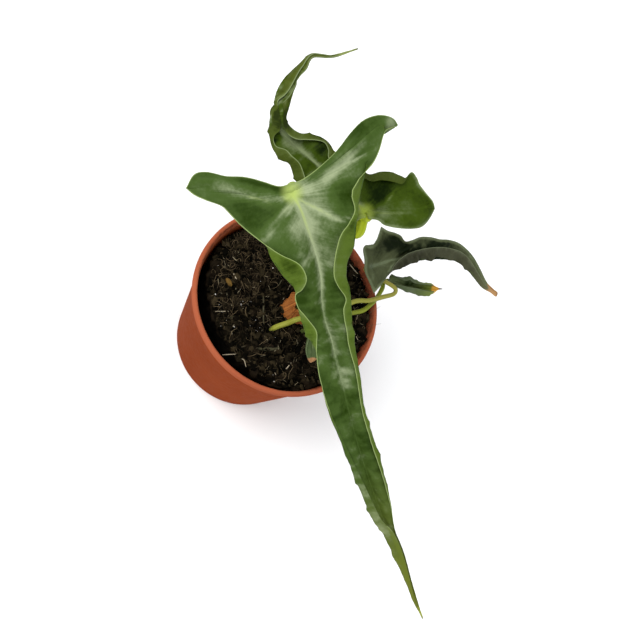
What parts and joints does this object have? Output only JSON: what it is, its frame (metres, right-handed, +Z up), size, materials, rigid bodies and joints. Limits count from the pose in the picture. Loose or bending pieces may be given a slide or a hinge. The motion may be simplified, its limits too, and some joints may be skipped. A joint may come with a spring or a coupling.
{
  "type": "potted aroid house plant",
  "caption": "Small nursery pot of peat with a young arrow-leaved aroid: a long drooping front leaf, a twisted back leaf, a folded side leaf and smaller rolled leaves on slim stalks.",
  "frame": {"origin": "middle of the flat underside of the pot", "axes": "+Z up through the pot, +X towards the long tip of the front leaf, +Y towards the side leaf"},
  "size_m": [0.2165, 0.1311, 0.156],
  "materials": {
    "pot_plastic": "satin moulded terracotta-coloured plastic",
    "peat": "moist crumbly peat with fibres",
    "sheath": "dry papery sheath",
    "dark_leaf": "satin leaf with pale veins",
    "grey_leaf": "satin leaf with a tan tip",
    "green_stalk": "smooth waxy stalk"
  },
  "bodies": {
    "root": {"pot": "pot_plastic", "soil": "peat", "corm": "sheath", "front_leaf_blade": "dark_leaf", "back_leaf_blade": "dark_leaf", "side_leaf_blade": "grey_leaf", "curled_leaf_blade": "grey_leaf", "young_leaf_blade": "grey_leaf", "front_leaf_stalk": "green_stalk", "back_leaf_stalk": "green_stalk", "side_leaf_stalk": "green_stalk", "curled_leaf_stalk": "green_stalk", "young_leaf_stalk": "green_stalk"}
  },
  "joints": []
}
